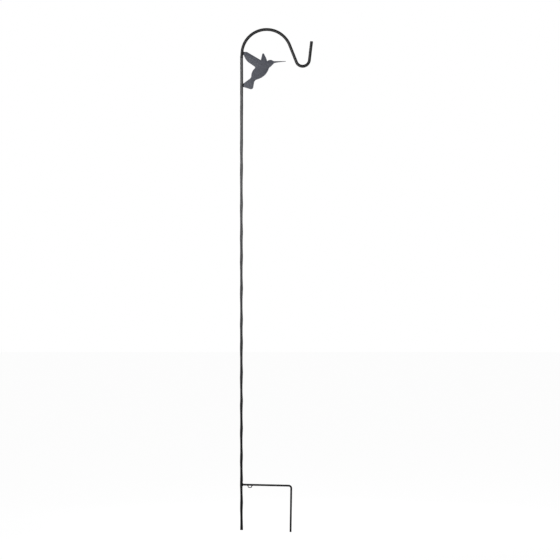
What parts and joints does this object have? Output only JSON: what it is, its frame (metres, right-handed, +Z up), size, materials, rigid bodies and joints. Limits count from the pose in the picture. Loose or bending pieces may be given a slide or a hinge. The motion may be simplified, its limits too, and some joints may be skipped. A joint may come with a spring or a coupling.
{
  "type": "shepherds hook",
  "caption": "Garden shepherds hook: a hammered pole with an arched crook and hanging bowl, a hummingbird plate under the arch, and a step-in foot with a ground prong.",
  "frame": {"origin": "middle of the pole's ground end", "axes": "+Z up along the pole, +X the way the crook and the foot reach, Y = 0 is the plane that the whole crook lies in"},
  "size_m": [0.3109, 0.0138, 2.1427],
  "materials": {
    "pole_coat": "hammered satin black coat",
    "crook_coat": "satin black coat",
    "bird_coat": "satin slate grey coat",
    "foot_coat": "satin black coat",
    "weld_coat": "black coat over weld beads",
    "eye_coat": "satin black coat"
  },
  "bodies": {
    "root": {"pole_bar": "pole_coat", "crook_rod": "crook_coat", "crook_weld": "weld_coat", "bird_plate": "bird_coat", "wing_weld": "weld_coat", "tail_weld": "weld_coat", "foot_rod": "foot_coat", "foot_weld": "weld_coat", "tie_eye": "eye_coat", "tie_eye_welds": "weld_coat"}
  },
  "joints": []
}
